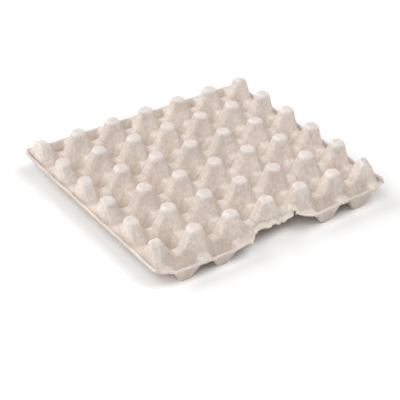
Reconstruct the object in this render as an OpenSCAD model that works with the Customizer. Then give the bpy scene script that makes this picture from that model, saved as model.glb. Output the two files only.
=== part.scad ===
// Moulded pulp tray for thirty eggs: one thin sheet of pressed paper fibre.
// The sheet is a crate of waves that cross at right angles. Each pair of crests
// meets in a post, each pair of troughs in a cell floor, and a crest that crosses
// a trough is a saddle. Along the long sides the waves run out into half cells
// under a straight rim. The short ends fall as one steep wall to a narrow flange.
// The long side at -Y is torn out over two half cells. Lengths are in millimetres.

/* [Cells] */
// Distance between neighbouring posts
pitch = 47; // [40:0.5:56]
// Number of cells along the long sides
cells_x = 6; // [5:1:7]
// Number of cells along the short ends
cells_y = 5; // [3:1:6]

/* [Section] */
// Height from the table to the post tops
tray_h = 46; // [36:0.5:56]
// Thickness of the pulp sheet
sheet_t = 2; // [1.4:0.1:3]
// Width of a post's top, measured between its sharp edges
post_top = 11; // [8:0.5:15]
// Width of the flat floor of a cell
cell_floor = 12; // [8:0.5:15]
// Flat width that the softened edge takes from each side of a post's top
edge_flat = 1.2; // [0.4:0.1:2]
// Fall of the softened edge down the flank of a post
edge_fall = 1.5; // [0.5:0.1:3]

/* [Long sides] */
// Reach of the rim beyond the outer posts of a long side
side_reach = 27.5; // [26:0.5:32]
// Outward run of the outer faces of a long side for each millimetre of fall
side_run = 0.4; // [0.25:0.01:0.45]
// Outward run of the outer wall of a half cell for each millimetre of rise
pocket_run = 0.4; // [0.25:0.01:0.45]

/* [Short ends] */
// Reach of the flange beyond the outer posts of a short end
end_reach = 11.5; // [10.5:0.1:14]
// Outward run of the end wall for each millimetre of fall
end_run = 0.15; // [0.08:0.01:0.18]
// Height of the fold where the end wall turns out into the flange
fold_h = 22.8; // [22:0.1:23.5]
// Depth by which the end wall steps back between its posts
end_dip = 2.5; // [0:0.1:3.5]

/* [Corner posts] */
// Length that the slanted cut takes from each side of a corner post's top
corner_cut = 7; // [3:0.5:8]
// Length that the same cut takes at the foot of the corner post
foot_cut = 3; // [0.5:0.5:4]

/* [Rim] */
// Height of the rim above the table
rim_h = 21.5; // [17:0.5:22]
// Width of the flat top of the rim outside a half cell
rim_w = 1.2; // [0.6:0.1:2]
// Drop of the rim's turned-down lip
lip_drop = 3; // [1.5:0.1:4.5]
// Outward lean of the lip
lip_lean = 0.6; // [0.2:0.1:1]
// Radius of the rim's corners
corner_r = 9; // [5:0.5:9.5]

/* [Torn side] */
// Post, counted from the -X end, after which the tear starts
tear_post = 2; // [1:1:2]
// Number of half cells that are torn out
tear_cells = 2; // [1:1:2]
// Length of rim that stays beside the posts at both ends of the tear
tear_stub = 7.5; // [5:0.1:8]
// Height of the torn edge on the outer faces
tear_h = 15.5; // [14:0.5:19]
// Depth of the ragged bites in the torn edge
tear_rag = 1.3; // [0:0.1:2]
// Spacing of the ragged bites
tear_step = 6; // [5:0.5:9]

/* [Hidden] */
// Half height of one wave, and the level at which two waves cross
wave = (tray_h - sheet_t) / 4;
mid_h = sheet_t + 2 * wave;
half_x = cells_x * pitch / 2;
half_y = cells_y * pitch / 2;
top_half = post_top / 2;
flank_run = (pitch - post_top - cell_floor) / (4 * wave);
// Stations of one wave across half a pitch, as distance from the post and height
wave_line = [
    [0, wave],
    [top_half - edge_flat, wave],
    [top_half + edge_fall * flank_run, wave - edge_fall],
    [(pitch - cell_floor) / 2, -wave],
    [pitch / 2, -wave],
];
// Least spacing of two lines of the sheet
close = 0.8;
// Foot of a half cell's outer wall, and the inner edge of the rim
rim_in = side_reach - lip_lean - rim_w;
pocket_foot = rim_in - pocket_run * (rim_h - sheet_t);
// Rows of a long side: top edge, face top, face foot, wall foot, rim inside, rim outside, lip
side_rows = 7;
// Columns of a short end: top edge, wall top, fold, flange edge, lip
end_cols = 5;
// Step of the outer faces' foot in both, and the line on a post's top where the slanted cut starts
foot_step = 2;
cut_line = max(top_half - corner_cut, edge_flat + close - top_half);
tear_from = (tear_post - cells_x / 2) * pitch + tear_stub;
tear_to = (tear_post + tear_cells - cells_x / 2) * pitch - tear_stub;
// Width over which the rim ends at the tear, and the spacing of rows folded into the torn edge
tear_end = 4;
torn_gap = 0.35;
// Lengths of the two waves that make up the ragged bites
rag_short = 3.7;
rag_long = 8.8;
pulp_colour = [0.83, 0.79, 0.74];

// Height of a wave at a distance from the middle of the tray, for a number of cells
function post_gap(p, cells) = abs(((p + cells * pitch / 2 + pitch / 2) % pitch) - pitch / 2);
function wave_at(p, cells) = lookup(post_gap(p, cells), wave_line);

// Places of the wave's edges along one direction
function wave_places(cells) = [
    for (i = [0 : cells - 1], s = [1, 2, 3, -3, -2, -1])
        (i - cells / 2) * pitch + (s > 0 ? wave_line[s][0] : pitch - wave_line[-s][0])
];

// Extra places along the tear, and those of them that stand clear of the wave's own edges
function tear_places() = concat(
    [tear_from, tear_from + tear_end],
    [for (p = [tear_from + tear_end + tear_step : tear_step : tear_to - tear_end - tear_step / 2]) p],
    [tear_to - tear_end, tear_to]
);
function clear_of(p, others) = min([for (q = others) abs(p - q)]) > close;
function sorted(v) = len(v) < 2 ? v : let (m = v[floor(len(v) / 2)]) concat(
    sorted([for (p = v) if (p < m) p]), [m], sorted([for (p = v) if (p > m) p])
);

// Line down a long side at a column of wave height h, as [reach, height] from top edge to lip
function face_foot(h) = min(rim_h, mid_h + h - wave);
function side_line(h) = let (top = mid_h + h + wave, foot = face_foot(h)) [
    [top_half - edge_flat, top],
    [top_half + edge_fall * side_run, top - edge_fall],
    [top_half + side_run * (top - foot), foot],
    [pocket_foot + pocket_run * (foot - sheet_t) - rim_w / 2, foot],
    [rim_in, rim_h],
    [rim_in + rim_w, rim_h - lip_drop / 6],
    [side_reach, rim_h - lip_drop],
];

// Reach of the torn edge, and the side line squeezed in behind it
function rag(x) = tear_rag * (0.6 * sin(360 * x / rag_short) + 0.4 * sin(360 * x / rag_long + 70));
function torn(x) = x > tear_from + close && x < tear_to - close;
function torn_reach(x, h) = top_half + side_run * (mid_h + h + wave - tear_h) + rag(x);
function torn_line(x, h) = let (line = side_line(h), edge = torn_reach(x, h)) [
    for (k = [0 : side_rows - 1])
        let (reach = min(line[k][0], edge - torn_gap * (side_rows - 1 - k)))
            [reach, lookup(reach, line)]
];

// Line out over a short end at a row of wave height h, as [reach, height]
function end_wall(z) = top_half + end_run * (tray_h - z);
function end_line(h) = let (
    top = mid_h + wave + h,
    brow = max(top - edge_fall, fold_h + edge_fall / 4),
    dip = end_dip * (wave - h) / (2 * wave)
) [
    [end_wall(top) - edge_flat - dip, top],
    [end_wall(brow) - dip, brow],
    [end_wall(fold_h) - dip, fold_h],
    [end_reach - lip_lean, rim_h],
    [end_reach, rim_h - lip_drop],
];

// A corner post's outer side: rings of points at top, brow and foot, from the end wall over the
// slanted cut to the side face
function ring(k, j) = let (
    m = max(k, j),
    e = end_line(wave)[m],
    s = side_line(wave)[m],
    cut = m == 0 ? top_half - edge_flat - cut_line : m < foot_step ? corner_cut : foot_cut,
    t = (k >= j ? j + 1 : 2 * m + 1 - k) / (2 * m + 2)
) [e[0] - cut * t, s[0] - cut * (1 - t), e[1] + (s[1] - e[1]) * t];

// A corner: the end line and the side line cross beyond the post's foot, and the lower one gives the height
function rounded(u, v) = let (
    a = (u - end_reach + corner_r) / corner_r,
    b = (v - side_reach + corner_r) / corner_r
) a <= 0 || b <= 0 ? [u, v] : [
    end_reach - corner_r + corner_r * a * sqrt(1 - b * b / 2),
    side_reach - corner_r + corner_r * b * sqrt(1 - a * a / 2),
];
function corner(k, j) = max(k, j) <= foot_step ? ring(k, j) : let (
    e = end_line(wave)[max(k, foot_step)],
    s = side_line(wave)[max(j, foot_step)],
    u = k <= foot_step ? ring(k, foot_step)[0] : e[0],
    v = j <= foot_step ? ring(foot_step, j)[1] : s[0]
) concat(rounded(u, v), k <= foot_step ? s[1] : j <= foot_step ? e[1] : min(e[1], s[1]));

// Columns and rows of the sheet, as [0, place] between the outer posts or [side, step] outside them.
// Step -1 is the line over the outer posts' tops from which the corner posts are cut.
places_x = sorted(concat(
    wave_places(cells_x),
    [for (p = tear_places()) if (clear_of(p, wave_places(cells_x))) p]
));
columns = concat(
    [for (k = [end_cols - 1 : -1 : -1]) [-1, k]],
    [for (p = places_x) [0, p]],
    [for (k = [-1 : end_cols - 1]) [1, k]]
);
rows = concat(
    [for (k = [side_rows - 1 : -1 : -1]) [-1, k]],
    [for (p = wave_places(cells_y)) [0, p]],
    [for (k = [-1 : side_rows - 1]) [1, k]]
);

// One point of the sheet's upper side
function inside(c) = c[0] == 0 || c[1] < 0;
function place(c, half) = c[0] == 0 ? c[1] : c[0] * (half + cut_line);
function crate(x, y) = [x, y, mid_h + wave_at(x, cells_x) + wave_at(y, cells_y)];
function upper(c, r) =
    inside(c) && inside(r) ? crate(place(c, half_x), place(r, half_y))
    : c[0] == 0 ? let (
        h = wave_at(c[1], cells_x),
        p = r[0] < 0 && torn(c[1]) ? torn_line(c[1], h)[r[1]] : side_line(h)[r[1]]
    ) [c[1], r[0] * (half_y + p[0]), p[1]]
    : r[0] == 0 ? let (p = end_line(wave_at(r[1], cells_y))[c[1]])
        [c[0] * (half_x + p[0]), r[1], p[1]]
    : let (p = corner(c[1], r[1])) [c[0] * (half_x + p[0]), r[0] * (half_y + p[1]), p[2]];

// The sheet as one closed body: the upper side, the same side set back by the thickness, and the edge
module pulp_sheet() {
    nc = len(columns);
    nr = len(rows);
    top = [for (r = rows) [for (c = columns) upper(c, r)]];
    tilt = [for (r = [0 : nr - 2]) [for (c = [0 : nc - 2])
        let (n = cross(top[r + 1][c + 1] - top[r][c], top[r + 1][c] - top[r][c + 1])) n / norm(n)]];
    function near(r, c) = [
        for (i = [max(r - 1, 0) : min(r, nr - 2)], j = [max(c - 1, 0) : min(c, nc - 2)]) tilt[i][j]
    ];
    function under(r, c) = let (
        n = near(r, c),
        sum = [for (q = n) 1] * n,
        m = sum / norm(sum),
        back = top[r][c] - m * sheet_t * len(n) / (sum * m)
    ) [back[0], back[1], top[r][c][2] <= sheet_t ? 0 : back[2]];
    points = concat(
        [for (r = [0 : nr - 1], c = [0 : nc - 1]) top[r][c]],
        [for (r = [0 : nr - 1], c = [0 : nc - 1]) under(r, c)]
    );
    low = nr * nc;
    function at(r, c) = r * nc + c;
    // Every square is split along the diagonal that points to the middle of the tray
    function split(r, c) = (2 * r < nr - 1) == (2 * c < nc - 1);
    quads = [for (r = [0 : nr - 2], c = [0 : nc - 2]) split(r, c)
        ? [at(r, c), at(r + 1, c), at(r + 1, c + 1), at(r, c + 1)]
        : [at(r + 1, c), at(r + 1, c + 1), at(r, c + 1), at(r, c)]];
    edge = concat(
        [for (c = [0 : nc - 2]) at(0, c)],
        [for (r = [0 : nr - 2]) at(r, nc - 1)],
        [for (c = [nc - 1 : -1 : 1]) at(nr - 1, c)],
        [for (r = [nr - 1 : -1 : 1]) at(r, 0)]
    );
    rim = [for (i = [0 : len(edge) - 1]) let (a = edge[i], b = edge[(i + 1) % len(edge)])
        [a, b, b + low, a + low]];
    under_quads = [for (q = quads) [for (i = [0, 3, 2, 1]) q[i] + low]];
    polyhedron(points, concat(quads, under_quads, rim));
}

module tray() color(pulp_colour) pulp_sheet();

tray();
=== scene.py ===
import math

import bpy
import numpy as np
from mathutils import Matrix, Vector, noise


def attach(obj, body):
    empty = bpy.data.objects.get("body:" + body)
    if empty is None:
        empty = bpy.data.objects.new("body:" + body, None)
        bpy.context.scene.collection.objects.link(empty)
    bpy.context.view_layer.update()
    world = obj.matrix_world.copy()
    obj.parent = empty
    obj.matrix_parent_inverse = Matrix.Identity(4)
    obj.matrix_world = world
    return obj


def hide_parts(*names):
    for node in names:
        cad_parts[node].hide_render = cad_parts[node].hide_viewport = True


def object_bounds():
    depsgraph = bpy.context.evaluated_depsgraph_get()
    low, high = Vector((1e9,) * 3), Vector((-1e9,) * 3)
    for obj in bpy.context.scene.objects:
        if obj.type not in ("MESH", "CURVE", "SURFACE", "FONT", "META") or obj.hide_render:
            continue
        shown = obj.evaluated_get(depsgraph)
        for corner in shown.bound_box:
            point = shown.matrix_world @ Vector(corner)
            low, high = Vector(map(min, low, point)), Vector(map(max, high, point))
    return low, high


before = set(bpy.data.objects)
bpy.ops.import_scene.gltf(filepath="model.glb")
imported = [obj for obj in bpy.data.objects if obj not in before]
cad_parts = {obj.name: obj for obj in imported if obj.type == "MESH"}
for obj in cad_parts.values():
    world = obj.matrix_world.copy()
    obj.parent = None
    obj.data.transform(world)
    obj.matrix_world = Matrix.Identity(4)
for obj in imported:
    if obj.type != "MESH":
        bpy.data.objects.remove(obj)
cadLow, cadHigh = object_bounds()
mm = 0.001
boxSize = [(high - low) / mm for low, high in zip(cadLow, cadHigh)]
print("frame: tray box", [round(side, 1) for side in boxSize], "mm")


# camera at the photograph's viewing angle
cameraView = {
    "target": (-0.0607, -0.0808, 0.046),  # point in the middle of the picture
    "azimuth": -35.749,
    "elevation": 33.494,
    "roll": 0.811,
    "distance": 1.295,
    "lens": 109.27,
    "sensor": 36.0,
}


def makeCamera(view):
    around, above, roll = (math.radians(view[key]) for key in ("azimuth", "elevation", "roll"))
    level = Vector((math.sin(around), -math.cos(around), 0))
    back = level * math.cos(above) + Vector((0, 0, math.sin(above)))
    side = Vector((math.cos(around), math.sin(around), 0))
    right = side * math.cos(roll) + back.cross(side) * math.sin(roll)
    data = bpy.data.cameras.new("photoCamera")
    data.lens = view["lens"]
    data.sensor_width = view["sensor"]
    data.sensor_fit = "HORIZONTAL"
    camera = bpy.data.objects.new("photoCamera", data)
    turn = Matrix((right, back.cross(right), back)).transposed().to_4x4()
    camera.matrix_world = Matrix.Translation(Vector(view["target"]) + back * view["distance"]) @ turn
    bpy.context.scene.collection.objects.link(camera)
    bpy.context.scene.camera = camera


makeCamera(cameraView)
print("camera: set")


# the pressed sheet, in millimetres
tray = {
    "cells": (6, 5),
    "sheetT": 2.0,
    "postTop": 11.0,
    "cellFloor": 12.0,
    "edgeFlat": 1.2,
    "edgeFall": 1.5,
    "sideReach": 27.5,  # rim beyond the outer posts of a long side
    "sideRun": 0.4,
    "pocketRun": 0.22,
    "endReach": 11.5,  # flange beyond the outer posts of a short end
    "endRun": 0.11,
    "endDip": 2.5,  # the end wall steps back between its posts
    "foldH": 22.8,
    "grooveIn": 2.4,  # a groove runs between the end walls and the bead on the flange
    "grooveDrop": 3.2,
    "beadRise": 0.9,
    "beadW": 1.5,
    "cornerCut": (7.0, 3.0),  # slanted cut of the corner posts, at the top and at the foot
    "fullCorner": (2.0, 1.0),  # the posts at -X +Y and +X -Y came out fuller
    "rimH": 21.5,
    "rimW": 2.1,
    "lipDrop": 1.8,
    "endLipDrop": 3.0,
    "lipLean": 0.6,
    "cornerR": 11.0,
    "edgeRound": 0.35,  # how far the sheet's edge is rounded out
    "footFlat": 0.35,  # up to this far above a cell's floor the underside lies on the table
    "capR": 7.5,  # posts are rounded at the top
    "capRound": 2.3,  # 2 is a circle, more is squarer
    "capSlope": 2.4,
    "capSoft": 1.0,
    "capFade": (1.5, 13.0),  # depth below the top over which a post turns square
    "shoulder": 9.8,
    "postCuts": 7,  # squares from a post's middle to its shoulder
    "waveCuts": (3, 4, 3),  # squares across flank, floor and flank
    "nearCuts": (4, 2, 15, 6, 8, 2, 1, 2),  # squares between the lines of the torn long side
    "sideCuts": (4, 2, 9, 3, 6, 2, 1, 2),  # and of the other one
    "endCuts": (4, 2, 9, 1, 2, 1, 1, 2),  # squares between the lines of a short end
    "hug": 0.07,  # share of a span between two folds that its outer squares take
    "hugFrom": 4,  # squares that a span needs for that
    "cutGap": 0.8,  # room between the last of the wave's lines and the corner posts' cut
    "footStep": 2,  # line of the outer faces' foot
}
cellsX, cellsY = tray["cells"]
trayH = boxSize[2]
halfX = boxSize[0] / 2 - tray["endReach"]
halfY = boxSize[1] / 2 - tray["sideReach"]
pitch = 2 * halfX / cellsX
wave = (trayH - tray["sheetT"]) / 4
midH = tray["sheetT"] + 2 * wave
topHalf = tray["postTop"] / 2
edgeAt = topHalf - tray["edgeFlat"]
cutLine = topHalf - tray["cornerCut"][0]
floorAt = (pitch - tray["cellFloor"]) / 2
browAt = topHalf + (floorAt - topHalf) * tray["edgeFall"] / (2 * wave)
waveGaps = [0, edgeAt, browAt, floorAt, pitch / 2]
waveHeights = [wave, wave, wave - tray["edgeFall"], -wave, -wave]


def waveAt(place, half):
    gap = np.abs((place + half + pitch / 2) % pitch - pitch / 2)
    return np.interp(gap, waveGaps, waveHeights)


def smooth(low, high, value):  # 0 before low, 1 past high
    t = np.clip((value - low) / (high - low), 0, 1)
    return t * t * (3 - 2 * t)


def placeOf(posts):  # x of a place given in posts from the -X end
    return (posts - cellsX / 2) * pitch


def postsAt(x):
    return x / pitch + cellsX / 2


def closeToFolds(count):  # shares along a span from one fold to the next, crowded at both
    if count < tray["hugFrom"]:
        return [i / count for i in range(count)]
    hug = tray["hug"]
    return [0] + [hug + (1 - 2 * hug) * i / (count - 2) for i in range(count - 1)]


def wavePlaces(cells):  # fine places along one direction, between the outer posts' tops
    half, shoulder = cells * pitch / 2, tray["shoulder"]
    marks = [shoulder, floorAt, pitch - floorAt, pitch - shoulder]
    near = [shoulder * i / tray["postCuts"] for i in range(tray["postCuts"])]
    one = near + [pitch - shoulder + gap for gap in near]
    for start, end, count in zip(marks, marks[1:], tray["waveCuts"]):
        one += [start + (end - start) * share for share in closeToFolds(count)]
    places = np.sort([cell * pitch - half + gap for cell in range(cells) for gap in one])
    return places[np.abs(places) < half + cutLine - tray["cutGap"]]


def fineSteps(counts):  # steps from -1, the line where the corner posts are cut, out to the lip
    steps = [k - 1 + share for k, count in enumerate(counts) for share in closeToFolds(count)]
    return np.array(steps + [len(counts) - 1])


def lineOf(points, h):  # reaches and heights of a line's points, for every wave height h
    return np.array([[value + 0 * h for value in values] for values in zip(*points)])


def sideLine(h):  # down a long side
    h = np.asarray(h, float)
    top = midH + h + wave
    foot = np.minimum(tray["rimH"], midH + h - wave)
    rim, rimW = tray["rimH"], tray["rimW"]
    rimIn = tray["sideReach"] - tray["lipLean"] - rimW
    return lineOf([
        (cutLine, top),
        (edgeAt, top),
        (topHalf + tray["sideRun"] * tray["edgeFall"], top - tray["edgeFall"]),
        (topHalf + tray["sideRun"] * (top - foot), foot),
        (rimIn - tray["pocketRun"] * (rim - foot) - rimW / 2, foot),
        (rimIn, rim),
        (rimIn + rimW / 2, rim + tray["beadRise"]),
        (rimIn + rimW, rim - tray["beadRise"]),
        (tray["sideReach"], rim - tray["lipDrop"]),
    ], h)


def endLine(h):  # over a short end
    h = np.asarray(h, float)
    top = midH + h + wave
    fold = tray["foldH"]
    brow = np.maximum(top - tray["edgeFall"], fold + tray["edgeFall"] / 4)
    dip = tray["endDip"] * (wave - h) / (2 * wave)
    rim, beadW = tray["rimH"], tray["beadW"]
    edge = tray["endReach"] - tray["lipLean"]

    def wall(z):
        return topHalf + tray["endRun"] * (trayH - z) - dip

    return lineOf([
        (cutLine, top),
        (wall(top) - tray["edgeFlat"], top),
        (wall(brow), brow),
        (wall(fold), fold),
        (np.maximum(wall(fold) + beadW / 4, edge - tray["grooveIn"]), fold - tray["grooveDrop"]),
        (edge - beadW, rim),
        (edge - beadW / 2, rim + tray["beadRise"]),
        (edge + tray["lipLean"] / 2, rim - tray["beadRise"]),
        (tray["endReach"], rim - tray["endLipDrop"]),
    ], h)


def alongSteps(line, steps):  # a line's points at steps between its own
    low = np.clip(np.floor(steps).astype(int) + 1, 0, line.shape[1] - 2)
    share = (steps + 1 - low).reshape((1, -1) + (1,) * (line.ndim - 2))
    return line[:, low] * (1 - share) + line[:, low + 1] * share


def cornerPoint(k, j, cuts):  # one point of a corner: rings over the slanted cut, then the flange
    foot = tray["footStep"]
    ends, sides = endLine(wave), sideLine(wave)
    m = max(k, j)
    if m < 0:
        return [cutLine, cutLine, trayH]
    if m <= foot:
        cut = edgeAt - cutLine if m == 0 else cuts[0] if m < foot else cuts[1]
        t = (j + 1 if k >= j else 2 * m + 1 - k) / (2 * m + 2)
        e, s = ends[:, m + 1], sides[:, m + 1]
        return [e[0] - cut * t, s[0] - cut * (1 - t), e[1] + (s[1] - e[1]) * t]
    e, s = ends[:, max(k, foot) + 1], sides[:, max(j, foot) + 1]
    u = cornerPoint(k, foot, cuts)[0] if k <= foot else e[0]
    v = cornerPoint(foot, j, cuts)[1] if j <= foot else s[0]
    return [u, v, s[1] if k <= foot else e[1] if j <= foot else min(e[1], s[1])]


def cornerSheet(endSteps, sideSteps, cuts):  # fine points of a corner, the rim's corner rounded
    lines = range(-1, len(tray["endCuts"]))
    coarse = np.array([[cornerPoint(k, j, cuts) for k in lines] for j in lines])
    rows = alongSteps(coarse.transpose(2, 0, 1), sideSteps)
    u, v, z = alongSteps(rows.transpose(0, 2, 1), endSteps).transpose(0, 2, 1)
    r = tray["cornerR"]
    a = np.maximum(0, (u - tray["endReach"] + r) / r)
    b = np.maximum(0, (v - tray["sideReach"] + r) / r)
    u = np.where(b > 0, u - r * a * (1 - np.sqrt(1 - b * b / 2)), u)  # a square drawn in to a disc
    v = np.where(a > 0, v - r * b * (1 - np.sqrt(1 - a * a / 2)), v)
    return u, v, z


def pressedSheet():  # the upper side as a grid of points, whole, before it is torn
    xs, ys = wavePlaces(cellsX), wavePlaces(cellsY)
    between = (xs[:-1] + xs[1:]) / 2
    first, last = (placeOf(tear["edge"][end][0]) for end in (0, -1))
    split = (np.diff(xs) > tear["finest"]) & (between > first) & (between < last)
    xs = np.sort(np.append(xs, between[split]))
    endSteps = fineSteps(tray["endCuts"])
    sideSteps = {-1: fineSteps(tray["nearCuts"]), 1: fineSteps(tray["sideCuts"])}
    ne, nx, ny, near, far = len(endSteps), len(xs), len(ys), len(sideSteps[-1]), len(sideSteps[1])
    grid = np.zeros((near + ny + far, ne + nx + ne, 3))
    inX, inY = slice(ne, ne + nx), slice(near, near + ny)
    rowsOf = {-1: slice(near - 1, None, -1), 1: slice(near + ny, None)}
    colsOf = {-1: slice(ne - 1, None, -1), 1: slice(ne + nx, None)}
    grid[inY, inX] = np.stack([
        np.broadcast_to(xs, (ny, nx)),
        np.broadcast_to(ys[:, None], (ny, nx)),
        midH + waveAt(xs, halfX) + waveAt(ys, halfY)[:, None],
    ], -1)
    for sign, rows in rowsOf.items():
        out, up = alongSteps(sideLine(waveAt(xs, halfX)), sideSteps[sign])
        grid[rows, inX] = np.stack([np.broadcast_to(xs, out.shape), sign * (halfY + out), up], -1)
    out, up = alongSteps(endLine(waveAt(ys, halfY)), endSteps)
    for sign, cols in colsOf.items():
        points = np.stack([sign * (halfX + out), np.broadcast_to(ys, out.shape), up], -1)
        grid[inY, cols] = points.transpose(1, 0, 2)
    for signY, rows in rowsOf.items():
        for signX, cols in colsOf.items():
            cuts = tray["fullCorner" if signX != signY else "cornerCut"]
            u, v, z = cornerSheet(endSteps, sideSteps[signY], cuts)
            grid[rows, cols] = np.stack([signX * (halfX + u), signY * (halfY + v), z], -1)
    return grid


def capped(grid):  # posts but the cut corner ones swell to a round cap
    x, y, z = grid[..., 0] + halfX, grid[..., 1] + halfY, grid[..., 2]
    i, j = np.round(x / pitch), np.round(y / pitch)
    corner = np.isin(i, (0, cellsX)) & np.isin(j, (0, cellsY))
    power, soft = tray["capRound"], tray["capSoft"]
    out = (np.abs(x - i * pitch) ** power + np.abs(y - j * pitch) ** power) ** (1 / power)
    over = np.maximum(0, out - tray["capR"] + soft / 2)
    cap = tray["capSlope"] * np.where(over < soft, over * over / (2 * soft), over - soft / 2)
    drop = trayH - z
    new = grid.copy()
    new[..., 2] += (drop - cap) * np.where(corner, 0, 1 - smooth(*tray["capFade"], drop))
    return new


# smoothing that rounds every fold, by the share a point moves towards its neighbours
softening = {
    "rounds": 2,
    "below": 0.45,  # below the post tops
    "top": 0.18,
    "pocket": 0.25,
    "foot": 0.85,
    "rim": 0.12,
    "topH": (34, 42),  # heights and reaches over which one share turns into another
    "pocketReach": (12, 16),
    "pocketH": (9, 15),
    "footReach": (9, 13),
    "footH": (15, 20),
    "faceH": (26, 32),
    "sideRim": (23, 25),
    "endRim": (8, 10),
}


def middles(grid):  # middle of each inner point's four neighbours
    return (grid[:-2, 1:-1] + grid[2:, 1:-1] + grid[1:-1, :-2] + grid[1:-1, 2:]) / 4


def softened(grid):  # the outer edge moves along itself only
    z = grid[..., 2]
    outX, outY = np.abs(grid[..., 0]) - halfX, np.abs(grid[..., 1]) - halfY
    aboveFoot = smooth(*softening["footH"], z) * (1 - smooth(*softening["faceH"], z))
    places = {
        "top": smooth(*softening["topH"], z),
        "pocket": smooth(*softening["pocketReach"], outY) * (1 - smooth(*softening["pocketH"], z)),
        "foot": smooth(*softening["footReach"], outY) * aboveFoot,
        "rim": np.maximum(smooth(*softening["sideRim"], outY), smooth(*softening["endRim"], outX)),
    }
    share = softening["below"]
    for name, here in places.items():
        share = share + (softening[name] - share) * here
    for _ in range(softening["rounds"]):
        new = grid.copy()
        new[1:-1, 1:-1] += share[1:-1, 1:-1, None] * (middles(grid) - grid[1:-1, 1:-1])
        for end in (0, -1):
            for edge, old in ((new[end], grid[end]), (new[:, end], grid[:, end])):
                edge[1:-1] += softening["rim"] * ((old[:-2] + old[2:]) / 2 - old[1:-1])
        grid = new
    return grid


# each use of the noise has its own seeds
seeds = {"lean": (1, 2, 3), "biteAlong": 11, "biteOut": 14, "lumps": 21, "deckle": 31, "fuzz": 35, "rim": 41}
seedStep = (17.3, 5.1, 29.7)  # how far one seed's noise lies from the next


def noiseAt(points, size, seed):  # soft noise from about -1 to 1 at a size in millimetres
    shift = Vector([seed * step for step in seedStep])
    values = [noise.noise(Vector(point) / size + shift) for point in points.reshape(-1, 3)]
    return np.array(values).reshape(points.shape[:-1])


def noiseLayers(points, layers, seed):  # layers are sizes with their depths
    return sum(depth * noiseAt(points, size, seed + i) for i, (size, depth) in enumerate(layers))


# how the sheet came out of the mould and lay about since, spans in millimetres from the outer posts
handling = {
    "rimLift": ((-0.6, 1.5), (3.4, 1.4)),  # lift of the rim at its corners: near side, then far side
    "rimSag": ((0.3, 0), (0.9, -2.6), (1.7, -3.0), (2.15, -0.8), (2.4, 0),  # by posts along the near side
               (3.8, 0), (4.1, -1.3), (4.6, -0.8), (5.0, 0)),
    "bend": (75.0, 0.55),  # size and depth of the posts' lean
    "lumps": ((13.0, 0.26), (5.0, 0.13)),  # sizes and depths of the lumps
    "deckle": ((9.0, 0.45), (3.5, 0.3)),  # of the uneven outer edge
    "rimLumps": ((11.0, 0.7), (4.5, 0.5)),  # and of the uneven rim
    "rimSquash": (1, 1, 0.4),  # the rim's lumps are drawn out up and down
    "rimSide": (22, 25),  # where the rim starts on the long sides, and at the ends
    "rimEnd": (7, 9.5),
    # the near corner post is pressed in beside the first pocket
    "pinch": {"depth": 4.5, "deepest": 1.5, "from": (0, 4), "to": (14, 23), "height": (8, 20)},
    # the rim's near corner is pushed in against that post
    "tuck": {"depth": 5.0, "from": (20, 33)},
    # the post at -X +Y swells towards +Y and droops
    "bulge": {"reach": 5.5, "droop": 2.2, "from": (0, 6), "to": (13, 27), "along": (2, 12)},
    # the post at +X -Y drops outwards, down to just over the rim
    "slump": {"drops": ((-5.0, 0), (1.5, 2.9), (9.0, 9.4), (13.8, 19.0), (16.5, 25.0)), "overRim": 1.0},
    # the far end's flange is bent up, less towards the near side
    "endCurl": {"lift": 4.2, "start": 2.0, "side": (-44, -12)},
    # the flange's tips beside the slumped post and the swollen one are bent up further
    "tipCurl": {"lifts": (4.2, 2.5), "from": (22, 33)},
}


def bentCorners(grid):  # what happened to three of the corner posts
    x, v, z = grid[..., 0] + halfX, -grid[..., 1] - halfY, grid[..., 2]
    new = grid.copy()
    pinch = handling["pinch"]
    depth = np.interp(x, [cutLine, topHalf + pinch["deepest"], floorAt], [0, pinch["depth"], 0])
    onFace = smooth(*pinch["from"], v) * (1 - smooth(*pinch["to"], v))
    new[..., 1] += depth * onFace * smooth(*pinch["height"], z)
    tuck = handling["tuck"]
    push = tuck["depth"] / math.sqrt(2) * smooth(*tuck["from"], v - x) * (v > 0)
    new[..., :2] += push[..., None]
    bulge = handling["bulge"]
    far = grid[..., 1] - halfY
    swell = smooth(*bulge["from"], far) * (1 - smooth(*bulge["to"], far)) * (1 - smooth(*bulge["along"], x))
    new[..., 1] += bulge["reach"] * swell
    new[..., 2] -= bulge["droop"] * swell * smooth(tray["rimH"], trayH, z)
    slump = handling["slump"]
    u = grid[..., 0] - halfX
    places, drops = zip(*slump["drops"])
    lowest = tray["rimH"] + slump["overRim"]
    slumped = np.minimum(new[..., 2], trayH - np.interp((u + v) / math.sqrt(2), places, drops))
    atPost = (np.abs(u) < pitch / 2) & (np.abs(v) < pitch / 2) & (z > lowest)
    new[..., 2] = np.where(atPost, np.maximum(slumped, lowest), new[..., 2])
    return new


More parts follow.
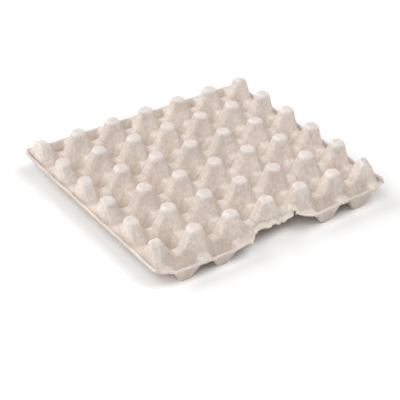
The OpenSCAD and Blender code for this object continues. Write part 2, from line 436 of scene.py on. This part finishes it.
def warped(grid):
    x, y, z = grid[..., 0], grid[..., 1], grid[..., 2]
    outX, outY = np.abs(x) - halfX, np.abs(y) - halfY
    outer = np.maximum(smooth(topHalf, tray["sideReach"], outY), smooth(topHalf, tray["endReach"], outX))
    near, far = handling["rimLift"]
    s, t = (x / halfX + 1) / 2, (y / halfY + 1) / 2
    lift = (near[0] * (1 - s) + near[1] * s) * (1 - t) + (far[0] * (1 - s) + far[1] * s) * t
    posts, sags = zip(*handling["rimSag"])
    lift = lift + np.where(y < -halfY, np.interp(postsAt(x), posts, sags, 0, 0), 0)
    size, depth = handling["bend"]
    lean = np.stack([noiseAt(grid, size, seed) for seed in seeds["lean"]], -1) * depth
    new = grid + lean * np.clip(z / trayH, 0, 1)[..., None]
    new[..., 2] += lift * outer * np.clip(z / tray["rimH"], 0, 1)
    curl = handling["endCurl"]
    flange = smooth(topHalf + curl["start"], tray["endReach"], x - halfX)
    new[..., 2] += curl["lift"] * flange * smooth(*curl["side"], y + halfY)
    tips = handling["tipCurl"]
    for sign, rise in zip((1, -1), tips["lifts"]):
        new[..., 2] += rise * smooth(*tips["from"], sign * (x - y) - halfX - halfY)
    onRim = np.maximum(smooth(*handling["rimSide"], outY), smooth(*handling["rimEnd"], outX))
    new[..., 2] += onRim * noiseLayers(grid * handling["rimSquash"], handling["rimLumps"], seeds["rim"])
    return new


# the torn side: its edge as (posts from the -X end, reach beyond the outer posts in millimetres)
tear = {
    "edge": ((2.12, 34), (2.16, 28.6), (2.20, 26.5), (2.26, 23.5), (2.35, 19.3), (2.42, 16.0), (2.48, 13.0),
             (2.54, 10.2), (2.63, 8.8), (2.69, 9.9), (2.75, 11.6), (2.81, 13.4), (2.87, 15.3), (3.05, 15.3),
             (3.14, 17.0), (3.17, 14.8), (3.23, 12.5), (3.35, 9.5), (3.41, 9.0), (3.53, 8.6), (3.62, 8.3),
             (3.67, 8.7), (3.70, 9.8), (3.74, 12.6), (3.78, 16.1), (3.81, 18.8), (3.85, 21.6), (3.95, 24.2),
             (4.02, 26.2), (4.05, 28.5), (4.06, 34)),
    # heights that the ends are pushed up to
    "shelf": ((2.04, 0), (2.10, 20.5), (2.40, 20.5), (2.54, 16.0), (2.64, 0),
              (3.60, 0), (3.68, 14.0), (3.72, 19.5), (3.80, 20.8), (3.95, 20.8), (4.00, 0)),
    "crack": ((3.640, 2.5), (3.630, 5.0), (3.634, 6.6), (3.675, 8.0), (3.715, 9.6), (3.735, 12.0)),
    "crackHalf": (0.25, 0.55),  # half its width at both ends
    "bites": ((9.0, 0.45), (2.4, 0.28)),  # sizes and depths of the ragged bites
    "finest": 1.0,  # wider squares are split along the tear
    "beside": 10.0,  # what counts as distance to the tear past its ends
    "whole": 50.0,  # and on the other sides
    "rough": 2.2,  # width of the roughened band beside the edge
    "flare": 2.0,  # how far the edge curls outwards
    "flareW": 1.5,
    "fuzz": 0.6,  # depth and size of the fuzz on the torn edge
    "fuzzSize": 1.7,
}


def pushedUp(grid):  # the pockets' walls beside the tear are pushed up to a shelf
    posts, heights = zip(*tear["shelf"])
    shelf = np.interp(postsAt(grid[..., 0]), posts, heights, 0, 0)
    new = grid.copy()
    new[..., 2] = np.where(grid[..., 1] < -halfY - edgeAt, np.maximum(grid[..., 2], shelf), grid[..., 2])
    return new


def tornField(points):  # above nought where the pulp is gone
    x, reach = points[..., 0], -points[..., 1] - halfY
    flat = points * [1, 1, 0]
    along = x + noiseLayers(flat, tear["bites"], seeds["biteAlong"])
    out = reach + noiseLayers(flat, tear["bites"], seeds["biteOut"])
    places, reaches = zip(*((placeOf(posts), far) for posts, far in tear["edge"]))
    beside = np.maximum(places[0] - x, x - places[-1])
    field = np.where(beside > 0, -tear["beside"] - beside, out - np.interp(along, places, reaches))
    crack = np.array([(placeOf(posts), far) for posts, far in tear["crack"]])
    spot = np.stack([along, out], -1)
    halves = np.linspace(*tear["crackHalf"], len(crack))
    for a, b, halfA, halfB in zip(crack, crack[1:], halves, halves[1:]):
        t = np.clip((spot - a) @ (b - a) / ((b - a) @ (b - a)), 0, 1)
        away = np.linalg.norm(spot - a - t[..., None] * (b - a), axis=-1)
        field = np.maximum(field, halfA + (halfB - halfA) * t - away)
    return field


def tornSheet(grid, extra):  # squares of the grid, cut along the tear; extra values follow their points
    rows, cols = grid.shape[:2]
    field = np.full((rows, cols), -tear["whole"])
    nearTear = (grid[..., 1] < -halfY) & (np.abs(grid[..., 0]) < halfX)
    field[nearTear] = tornField(grid[nearTear])
    index = np.arange(rows * cols).reshape(rows, cols)
    squares = np.stack([index[:-1, :-1], index[:-1, 1:], index[1:, 1:], index[1:, :-1]], -1).reshape(-1, 4)
    gone = field.ravel()[squares] > 0
    polygons = squares[~gone.any(1)].tolist()
    points, extras, level = grid.reshape(-1, 3).tolist(), extra.ravel().tolist(), field.ravel().tolist()
    crossings = {}

    def crossing(a, b):
        key = (min(a, b), max(a, b))
        if key not in crossings:
            share = level[a] / (level[a] - level[b])
            points.append([p + (q - p) * share for p, q in zip(points[a], points[b])])
            extras.append(extras[a] + (extras[b] - extras[a]) * share)
            level.append(0.0)
            crossings[key] = len(points) - 1
        return crossings[key]

    for square in squares[gone.any(1) & ~gone.all(1)].tolist():
        shape = []
        for a, b in zip(square, square[1:] + square[:1]):
            if level[a] <= 0:
                shape.append(a)
            if (level[a] > 0) != (level[b] > 0):
                shape.append(crossing(a, b))
        polygons.append(shape)
    used = sorted({i for shape in polygons for i in shape})
    renumber = {old: new for new, old in enumerate(used)}
    polygons = [[renumber[i] for i in shape] for shape in polygons]
    return np.array(points)[used], np.array(extras)[used], np.array(level)[used], polygons


def vertexNormals(points, polygons):
    mesh = bpy.data.meshes.new("normals")
    mesh.from_pydata(points.tolist(), [], polygons)
    normals = np.empty(len(points) * 3, np.float32)
    mesh.vertex_normals.foreach_get("vector", normals)
    bpy.data.meshes.remove(mesh)
    return normals.reshape(-1, 3).astype(float)


def openEdges(polygons):  # directed edges that only one polygon has
    directed = {(a, b) for shape in polygons for a, b in zip(shape, shape[1:] + shape[:1])}
    return sorted((a, b) for a, b in directed if (b, a) not in directed)


def outwards(points, normals, edges):  # directions out of the sheet at its edges
    out = np.zeros(points.shape)
    for a, b in edges:
        side = np.cross(points[b] - points[a], (normals[a] + normals[b]) / 2)
        out[a] += side
        out[b] += side
    length = np.linalg.norm(out, axis=1, keepdims=True)
    return out / np.where(length > 0, length, 1)


def crests(grid):  # how far points stand out from their neighbours, below nought in a crease
    bend = np.zeros(grid.shape)
    bend[1:-1, 1:-1] = grid[1:-1, 1:-1] - middles(grid)
    across = np.cross(np.gradient(grid, axis=1), np.gradient(grid, axis=0))
    across /= np.linalg.norm(across, axis=-1, keepdims=True)
    return (bend * across).sum(-1)


# where painted shade, and rub with a painted highlight, go, in millimetres beyond the outer posts
shadeAndRub = {
    "underShadeSide": (15, 19),  # where the painted shade on the underside ends, on the long sides and at the ends
    "underShadeEnd": (5, 9),
    "grooveIn": 4.2,  # painted shade in the flange's groove, from the lip inwards
    "grooveW": 1.35,
    "grooveH": (24, 28),
    "lip": (-0.6, -0.1),  # and painted shade on the end lips, from their edge
    "edgeCrest": 0.1,  # the sheet's edge is painted a little lighter: rub and a painted highlight
}


# masks for painted shade, for rub with a painted highlight, and for the torn edge
def colourMasks(points, crest, torn, onEdge):  # on the upper side, the underside and the edge
    outX, outY = np.abs(points[:, 0]) - halfX, np.abs(points[:, 1]) - halfY
    underShade = 1 - np.maximum(smooth(*shadeAndRub["underShadeSide"], outY), smooth(*shadeAndRub["underShadeEnd"], outX))
    fromLip = outX - tray["endReach"]
    endShade = np.exp(-((fromLip + shadeAndRub["grooveIn"]) / shadeAndRub["grooveW"]) ** 2)
    endShade = np.maximum(endShade * (1 - smooth(*shadeAndRub["grooveH"], points[:, 2])), smooth(*shadeAndRub["lip"], fromLip))
    none, noneOnEdge = np.zeros(len(points)), np.zeros(len(onEdge))
    return {
        "endShade": (endShade, none, noneOnEdge),
        "crest": (crest, -crest, crest[onEdge] + shadeAndRub["edgeCrest"]),
        "underShade": (none, underShade * (1 - torn), noneOnEdge),
        "torn": (torn, torn, torn[onEdge]),
    }


def makeTray():
    grid = softened(pushedUp(bentCorners(capped(pressedSheet()))))
    points, crest, level, polygons = tornSheet(warped(grid), crests(grid))
    level = np.minimum(level, 0)
    torn = np.exp(level / tear["rough"])
    points[:, 1] -= tear["flare"] * np.exp(level / tear["flareW"])
    normals = vertexNormals(points, polygons)
    points += normals * noiseLayers(points, handling["lumps"], seeds["lumps"])[:, None]
    edges = openEdges(polygons)
    onEdge = sorted({i for pair in edges for i in pair})
    outward = outwards(points, normals, edges)[onEdge]
    points[onEdge] += outward * noiseLayers(points[onEdge], handling["deckle"], seeds["deckle"])[:, None]
    # the underside, and a loop of points along the middle of the edge
    under = points - normals * tray["sheetT"]
    standing = points[:, 2] < tray["sheetT"] + tray["footFlat"]
    under[:, 2] = np.where(standing, 0, np.maximum(under[:, 2], 0))
    middle = (points[onEdge] + under[onEdge]) / 2
    fuzz = tear["fuzz"] * torn[onEdge] * noiseAt(middle, tear["fuzzSize"], seeds["fuzz"])
    middle += outward * (tray["edgeRound"] + fuzz)[:, None]
    count = len(points)
    rim = {old: 2 * count + new for new, old in enumerate(onEdge)}
    faces = polygons + [[i + count for i in reversed(shape)] for shape in polygons]
    for a, b in edges:
        faces.append([b, a, rim[a], rim[b]])
        faces.append([rim[b], rim[a], a + count, b + count])
    mesh = bpy.data.meshes.new("tray_pulp")
    mesh.from_pydata((np.concatenate([points, under, middle]) * mm).tolist(), [], faces)
    for name, values in colourMasks(points, crest, torn, onEdge).items():
        attribute = mesh.attributes.new(name, "FLOAT", "POINT")
        attribute.data.foreach_set("value", np.concatenate(values).astype(np.float32))
    mesh.polygons.foreach_set("use_smooth", [True] * len(mesh.polygons))
    mesh.update()
    piece = bpy.data.objects.new("tray_pulp", mesh)
    bpy.context.scene.collection.objects.link(piece)
    print("tray:", len(mesh.vertices), "points,", sum(len(face) - 2 for face in faces), "triangles")
    return piece


trayPiece = makeTray()


# shader sums as Python expressions
class Wire:
    def __init__(self, finish, socket):
        self.finish = finish
        self.socket = socket

    def math(self, operation, *terms):
        return self.finish.node("ShaderNodeMath", {"operation": operation}, dict(enumerate(terms)))

    def __add__(self, other):
        return self.math("ADD", self, other)

    def __radd__(self, other):
        return self.math("ADD", other, self)

    def __sub__(self, other):
        return self.math("SUBTRACT", self, other)

    def __rsub__(self, other):
        return self.math("SUBTRACT", other, self)

    def __mul__(self, other):
        return self.math("MULTIPLY", self, other)

    def __rmul__(self, other):
        return self.math("MULTIPLY", other, self)

    def __abs__(self):
        return self.math("ABSOLUTE", self)


class Finish:
    def __init__(self, block):  # a material or the world
        self.block = block
        self.block.use_nodes = True
        self.tree = self.block.node_tree
        self.tree.nodes.clear()

    def node(self, kind, settings=None, inputs=None, output=0):  # settings are set first, then sockets
        made = self.tree.nodes.new(kind)
        for key, value in (settings or {}).items():
            setattr(made, key, value)
        for key, value in (inputs or {}).items():
            if isinstance(value, Wire):
                self.tree.links.new(value.socket, made.inputs[key])
            else:
                made.inputs[key].default_value = value
        return Wire(self, made.outputs[output]) if made.outputs else None

    def stored(self, name):  # a value that the mesh carries
        return self.node("ShaderNodeAttribute", {"attribute_name": name}, {}, "Fac")

    def speckle(self, where, size, detail, rough=0.55):  # noise at a size in millimetres, about 0.5
        return self.node("ShaderNodeTexNoise", {}, {
            "Vector": where, "Scale": 1 / (size * mm), "Detail": detail, "Roughness": rough})

    def between(self, value, low, high):  # 0 below low, 1 above high
        return self.node("ShaderNodeMapRange", {"interpolation_type": "SMOOTHSTEP"}, {
            "Value": value, "From Min": low, "From Max": high})

    def blend(self, share, first, second):  # one colour into another, at the node's colour sockets
        return self.node("ShaderNodeMix", {"data_type": "RGBA"}, {0: share, 6: first, 7: second}, 2)

    def done(self, kind, shader):
        self.node(kind, {}, {"Surface": shader})
        return self.block


# noise is given as size in millimetres, detail and roughness, spans as where a layer starts and is full
pulp = {
    "dark": (0.620, 0.535, 0.470, 1),
    "light": (0.800, 0.702, 0.640, 1),
    "cloud": (26.0, 2.0),
    "mottle": (4.0, 4.0),
    "streak": (2.6, 2.0),
    "drawn": (1, 1, 0.22),  # the streaks run up and down
    "grain": (1.0, 3.0, 0.65),
    "tone": {"cloud": 0.28, "mottle": 0.32, "streak": 0.18, "grain": 0.22, "span": (0.40, 0.60)},
    "cool": {"colour": (0.720, 0.690, 0.690, 1), "noise": (8.5, 2.0), "span": (0.5, 0.72), "share": 0.45},
    "fibre": {"colour": (0.820, 0.765, 0.710, 1), "noise": (3.0, 1.0), "middle": 0.5, "line": (0.0, 0.014),
              "breaks": (4.2, 1.0), "span": (0.50, 0.58), "share": 0.55},
    # crests painted lighter: partly rubbed fibres, partly a painted highlight
    "rubAndHighlight": {"colour": (0.850, 0.805, 0.785, 1), "span": (0.03, 0.32), "share": 0.65},
    # painted shade: a darker colour laid into creases, grooves and beside the tear, where shade falls
    "creaseShade": {"colour": (0.540, 0.450, 0.375, 1), "span": (0.04, 0.35), "share": 0.45},
    # painted shade in the end flanges' groove and on the end lips
    "endShade": {"even": 0.35, "mottled": 0.5},
    "low": {"colour": (0.560, 0.455, 0.360, 1), "heights": (3.0, 20.0), "share": 0.35},  # painted shade, darker towards the bottom
    "cap": {"colour": (0.795, 0.735, 0.710, 1), "depths": (2.6, 0.5),  # post tops painted lighter: wear and a painted highlight
            "noise": (6.0, 2.0), "even": 0.1, "mottled": 0.5},
    # a painted shadow line beside the tear, by how torn the pulp is there
    "tearShadowLine": {"from": (0.22, 0.30), "to": (0.34, 0.44), "span": (0.40, 0.52), "share": 0.75},
    "torn": {"colour": (0.850, 0.775, 0.695, 1), "grain": 0.3, "span": (0.52, 0.72), "share": 0.7},
    # painted shade: the underside inside the rim band, browner and darker
    "underShadeLook": {"colour": (0.600, 0.460, 0.340, 1), "share": 0.8},
    "speck": {"colour": (0.200, 0.140, 0.100, 1), "spacing": 7.0, "chosen": (0.90, 0.91),
              "radius": (0.03, 0.075), "share": 0.7},  # radius in shares of the spacing
    # two dark marks, by place, radius and strength
    "marks": (((-129.5, -122.9, 28.9), 1.3, 0.9), ((-17.3, -121.9, 24.0), 1.2, 0.7)),
    "markCore": 0.4,  # share of a mark's radius that is full
    "fluff": (0.9, 5.0, 0.7),
    "relief": {"mottle": 0.5, "grain": 0.4, "fibre": 0.15, "fluff": 1.2},
    "bump": 0.85,
    "bumpDepth": 0.0005,
    "roughness": 0.92,
    "gloss": 0.2,
}


def pulpFinish(look):
    made = Finish(bpy.data.materials.new("pulp"))
    where = made.node("ShaderNodeTexCoord", {}, {}, "Object")
    up = made.node("ShaderNodeSeparateXYZ", {}, {"Vector": where}, "Z") * (1 / mm)
    crest, endShade, torn, underShade = (made.stored(name) for name in ("crest", "endShade", "torn", "underShade"))

    # the pulp itself: clouds, mottle, streaks, grain, cool patches and fibres
    cloud = made.speckle(where, *look["cloud"])
    mottle = made.speckle(where, *look["mottle"])
    grain = made.speckle(where, *look["grain"])
    drawn = made.node("ShaderNodeVectorMath", {"operation": "MULTIPLY"}, {0: where, 1: look["drawn"]})
    streak = made.speckle(drawn, *look["streak"])
    tone = look["tone"]
    mixed = cloud * tone["cloud"] + mottle * tone["mottle"] + streak * tone["streak"] + grain * tone["grain"]
    colour = made.blend(made.between(mixed, *tone["span"]), look["dark"], look["light"])
    cool = look["cool"]
    patches = made.between(made.speckle(where, *cool["noise"]), *cool["span"])
    colour = made.blend(patches * cool["share"], colour, cool["colour"])
    strand = look["fibre"]
    broken = made.between(made.speckle(where, *strand["breaks"]), *strand["span"])
    fromLine = abs(made.speckle(where, *strand["noise"]) - strand["middle"])
    fibre = (1 - made.between(fromLine, *strand["line"])) * broken
    colour = made.blend(fibre * strand["share"], colour, strand["colour"])

    # painted light and shade, and wear: crests lighter by rub and a painted highlight, painted shade in
    # creases, end grooves, on end lips and towards the bottom, post tops lighter by wear and a painted
    # highlight
    rubAndHighlight, creaseShade, endShadeMix, low, cap = (look[name] for name in ("rubAndHighlight", "creaseShade", "endShade", "low", "cap"))
    # crests lighter: rub and a painted highlight
    colour = made.blend(made.between(crest, *rubAndHighlight["span"]) * rubAndHighlight["share"], colour, rubAndHighlight["colour"])
    # painted shade in the creases
    colour = made.blend(made.between(0 - crest, *creaseShade["span"]) * creaseShade["share"], colour, creaseShade["colour"])
    # painted shade in the end grooves and on the end lips
    colour = made.blend(endShade * (endShadeMix["even"] + endShadeMix["mottled"] * mottle), colour, creaseShade["colour"])
    # painted shade: darker towards the bottom
    colour = made.blend((1 - made.between(up, *low["heights"])) * low["share"], colour, low["colour"])
    # post tops lighter: wear and a painted highlight
    onCap = made.between(up, *(trayH - depth for depth in cap["depths"]))
    capRubAndHighlight = cap["even"] + cap["mottled"] * made.speckle(where, *cap["noise"])
    colour = made.blend(onCap * capRubAndHighlight, colour, cap["colour"])

    # the tear: a broken painted shadow line, then the pale ragged edge
    line, edge, below = look["tearShadowLine"], look["torn"], look["underShadeLook"]
    beside = made.between(torn, *line["from"]) * (1 - made.between(torn, *line["to"]))
    beside = beside * made.between(mottle, *line["span"])
    colour = made.blend(beside * line["share"], colour, creaseShade["colour"])
    pale = made.between(torn + grain * edge["grain"], *edge["span"])
    colour = made.blend(pale * edge["share"], colour, edge["colour"])
    # painted shade on the underside
    colour = made.blend(underShade * below["share"], colour, below["colour"])

    # dark specks in some of the cells of a pattern, and two marks
    speck = look["speck"]
    pattern = {"Vector": where, "Scale": 1 / (speck["spacing"] * mm)}
    spot = made.node("ShaderNodeTexVoronoi", {}, pattern, "Distance")
    drawnLot = made.node("ShaderNodeTexVoronoi", {}, pattern, "Color")
    chosen = made.between(made.node("ShaderNodeSeparateColor", {}, {"Color": drawnLot}), *speck["chosen"])
    specks = (1 - made.between(spot, *speck["radius"])) * chosen
    colour = made.blend(specks * speck["share"], colour, speck["colour"])
    for place, radius, strength in look["marks"]:
        away = made.node("ShaderNodeVectorMath", {"operation": "DISTANCE"}, {
            0: where, 1: [side * mm for side in place]}, "Value")
        mark = 1 - made.between(away, radius * mm * look["markCore"], radius * mm)
        colour = made.blend(mark * strength, colour, speck["colour"])

    relief = look["relief"]
    height = mottle * relief["mottle"] + grain * relief["grain"] + fibre * relief["fibre"]
    height = height + made.speckle(where, *look["fluff"]) * torn * relief["fluff"]
    bump = made.node("ShaderNodeBump", {}, {
        "Strength": look["bump"], "Distance": look["bumpDepth"], "Height": height}, "Normal")
    shader = made.node("ShaderNodeBsdfPrincipled", {}, {
        "Base Color": colour,
        "Roughness": look["roughness"],
        "Specular IOR Level": look["gloss"],
        "Normal": bump,
    })
    return made.done("ShaderNodeOutputMaterial", shader)


trayPiece.data.materials.append(pulpFinish(pulp))
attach(trayPiece, "root")
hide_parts("tray")
print("finish: pulp")


# floor and light
studio = {
    "floorSize": 8.0,
    "floorColour": (0.98, 0.98, 0.98, 1),
    "skyColour": (1, 1, 1, 1),
    "skyStrength": 0.03,  # as light
    "seenStrength": 1.0,
    "lamps": {  # azimuth and elevation each light comes from, its width in the sky and its strength
        "window": {"azimuth": 126, "elevation": 25, "width": 60, "strength": 2.45},
        "left": {"azimuth": 216, "elevation": 48, "width": 50, "strength": 1.42},
        "right": {"azimuth": 325, "elevation": 58, "width": 46, "strength": 1.54},
    },
}


def makeFloor(look):
    half = look["floorSize"] / 2
    corners = [(-half, -half, 0), (half, -half, 0), (half, half, 0), (-half, half, 0)]
    mesh = bpy.data.meshes.new("floor")
    mesh.from_pydata(corners, [], [(0, 1, 2, 3)])
    floor = bpy.data.objects.new("floor", mesh)
    bpy.context.scene.collection.objects.link(floor)
    made = Finish(bpy.data.materials.new("floor"))
    shader = made.node("ShaderNodeBsdfDiffuse", {}, {"Color": look["floorColour"]})
    mesh.materials.append(made.done("ShaderNodeOutputMaterial", shader))


def makeLamp(name, look):
    around, above = math.radians(look["azimuth"]), math.radians(look["elevation"])
    level = Vector((math.cos(around), math.sin(around), 0))
    source = level * math.cos(above) + Vector((0, 0, math.sin(above)))
    data = bpy.data.lights.new(name, "SUN")
    data.angle = math.radians(look["width"])
    data.energy = look["strength"]
    lamp = bpy.data.objects.new(name, data)
    lamp.rotation_euler = source.to_track_quat("Z", "Y").to_euler()
    bpy.context.scene.collection.objects.link(lamp)


def makeSky(look):  # white where it is seen, dim as light
    made = Finish(bpy.data.worlds.new("sky"))
    seen = made.node("ShaderNodeLightPath", {}, {}, "Is Camera Ray")
    for ray in ("Is Glossy Ray", "Is Transmission Ray"):
        seen = seen + made.node("ShaderNodeLightPath", {}, {}, ray)
    dim, white = (made.node("ShaderNodeBackground", {}, {"Color": look["skyColour"], "Strength": strength})
                  for strength in (look["skyStrength"], look["seenStrength"]))
    shader = made.node("ShaderNodeMixShader", {}, {0: seen, 1: dim, 2: white})
    bpy.context.scene.world = made.done("ShaderNodeOutputWorld", shader)


makeFloor(studio)
for name, look in studio["lamps"].items():
    makeLamp(name, look)
makeSky(studio)
bpy.context.scene.view_settings.view_transform = "Standard"
print("studio: floor, lamps and sky")
